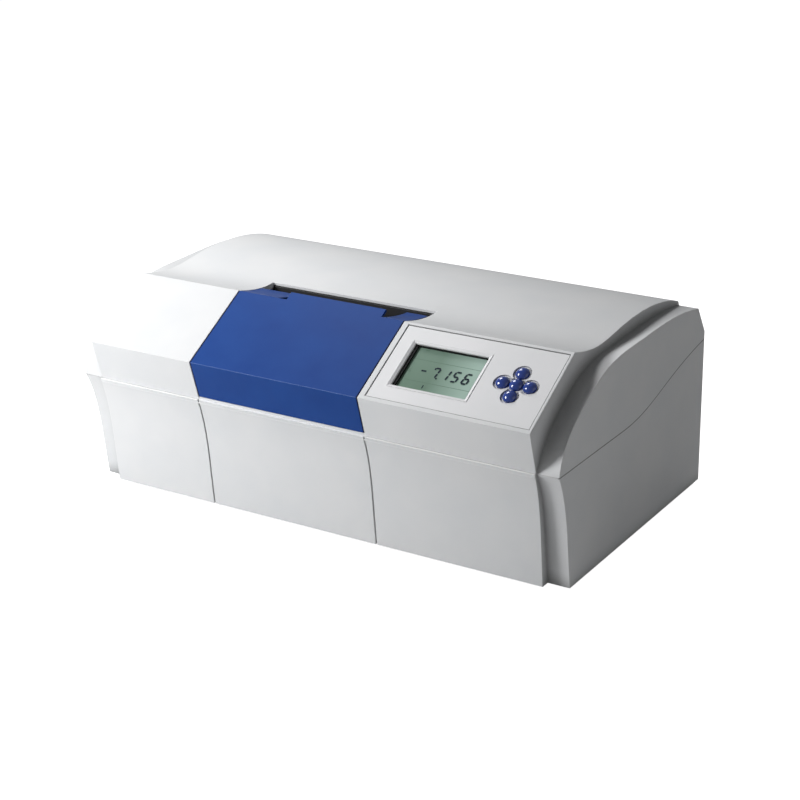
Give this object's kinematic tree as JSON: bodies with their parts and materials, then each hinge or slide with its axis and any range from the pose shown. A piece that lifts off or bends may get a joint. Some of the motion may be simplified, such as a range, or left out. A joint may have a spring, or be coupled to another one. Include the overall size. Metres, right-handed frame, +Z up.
{
  "type": "bench polarimeter",
  "caption": "Bench polarimeter: sloped moulded housing, hinged sample lid over a tube chamber, display and keys, motor-driven analyser inside.",
  "frame": {"origin": "on the ground under the middle of the housing's outline", "axes": "+Z up, front with lid and keys towards -Y, +X to the right seen from the front"},
  "size_m": [0.6, 0.36, 0.2429],
  "materials": {
    "housing_abs": "fine-textured moulded ABS",
    "lid_abs": "semi-gloss moulded ABS",
    "panel_abs": "satin moulded ABS",
    "key_blue": "glossy moulded",
    "black_plastic": "matt",
    "black_metal": "black anodised",
    "lcd_glass": "liquid-crystal glass",
    "clear_glass": "clear",
    "rubber": "matt",
    "steel": "zinc-plated",
    "cast_alu": "cast and machined",
    "sheet": "zinc-plated sheet",
    "rear_sheet": "painted",
    "brass": "turned",
    "copper": "enamelled copper wire",
    "board": "solder-masked board",
    "ceramic": "glazed ceramic",
    "dark_glass": "polarising film in glass",
    "amber_glass": "coated filter glass"
  },
  "bodies": {
    "housing": {"lower_case": "housing_abs", "upper_case": "housing_abs", "base_plate": "sheet", "rear_panel": "rear_sheet", "feet": "rubber", "case_screws": "steel", "lid_hinge_brackets": "steel", "lid_hinge_pins": "steel", "lid_seal": "rubber", "sample_chamber": "black_plastic", "chamber_windows": "clear_glass", "tube_trough": "black_metal", "optical_bench": "cast_alu", "lamp_housing": "sheet", "lamp_socket": "ceramic", "lamp": "clear_glass", "condenser_lens": "clear_glass", "polariser": "dark_glass", "modulator_bobbin": "black_plastic", "modulator_coil": "copper", "analyser_block": "cast_alu", "analyser_bearings": "steel", "servo_motor": "steel", "motor_bracket": "cast_alu", "interference_filter": "amber_glass", "detector_housing": "black_metal", "phototube": "clear_glass", "preamp_board": "board", "control_panel": "panel_abs", "display_bezel": "panel_abs", "display_frame": "black_metal", "display_glass": "lcd_glass", "display_board": "board", "key_board": "board", "transformer_core": "steel", "transformer_winding": "copper", "main_board": "board", "power_board": "board", "board_standoffs": "steel", "power_inlet": "black_plastic", "power_switch": "black_plastic", "serial_port": "steel", "fan_frame": "black_plastic", "optic_mounts": "black_metal"},
    "lid": {"sample_lid": "lid_abs"},
    "tube": {"sample_tube": "clear_glass", "tube_caps": "steel", "tube_windows": "clear_glass", "tube_washers": "rubber"},
    "analyser": {"analyser_wheel": "brass", "analyser_disc": "dark_glass"},
    "pinion": {"drive_pinion": "brass", "motor_shaft": "steel"},
    "fan": {"fan_rotor": "black_plastic"},
    "rocker": {"power_rocker": "black_plastic"},
    "key_up": {"key_up": "key_blue"},
    "key_down": {"key_down": "key_blue"},
    "key_left": {"key_left": "key_blue"},
    "key_right": {"key_right": "key_blue"},
    "key_enter": {"key_enter": "key_blue"}
  },
  "joints": [
    {"name": "lid_hinge", "type": "hinge", "parent": "housing", "child": "lid", "pos_m": [-0.03, -0.058, 0.20603], "axis": [-1, 0, 0], "range_deg": [0, 75]},
    {"name": "tube_lift", "type": "slide", "parent": "housing", "child": "tube", "axis": [0, 0, 1], "range_m": [0, 0.04]},
    {"name": "analyser_turn", "type": "hinge", "parent": "housing", "child": "analyser", "pos_m": [0.1, -0.1, 0.156], "axis": [1, 0, 0], "range_deg": [-50, 50]},
    {"name": "pinion_turn", "type": "hinge", "parent": "housing", "child": "pinion", "pos_m": [0.12, -0.06468, 0.156], "axis": [1, 0, 0], "range_deg": [-226, 226]},
    {"name": "fan_turn", "type": "hinge", "parent": "housing", "child": "fan", "pos_m": [-0.06, 0.164, 0.076], "axis": [0, 1, 0], "continuous": true},
    {"name": "rocker_tilt", "type": "hinge", "parent": "housing", "child": "rocker", "pos_m": [-0.155, 0.1708, 0.066], "axis": [-1, 0, 0], "range_deg": [0, 16]},
    {"name": "key_up_press", "type": "slide", "parent": "housing", "child": "key_up", "axis": [0, 0.503, -0.8643], "range_m": [0, 0.0015], "stiffness_N_per_m": 250, "springref_m": -0.002},
    {"name": "key_down_press", "type": "slide", "parent": "housing", "child": "key_down", "axis": [0, 0.503, -0.8643], "range_m": [0, 0.0015], "stiffness_N_per_m": 250, "springref_m": -0.002},
    {"name": "key_left_press", "type": "slide", "parent": "housing", "child": "key_left", "axis": [0, 0.503, -0.8643], "range_m": [0, 0.0015], "stiffness_N_per_m": 250, "springref_m": -0.002},
    {"name": "key_right_press", "type": "slide", "parent": "housing", "child": "key_right", "axis": [0, 0.503, -0.8643], "range_m": [0, 0.0015], "stiffness_N_per_m": 250, "springref_m": -0.002},
    {"name": "key_enter_press", "type": "slide", "parent": "housing", "child": "key_enter", "axis": [0, 0.503, -0.8643], "range_m": [0, 0.0015], "stiffness_N_per_m": 250, "springref_m": -0.002}
  ],
  "couplings": [
    {"joint": "pinion_turn", "follows": "analyser_turn", "ratio": -4.5}
  ]
}
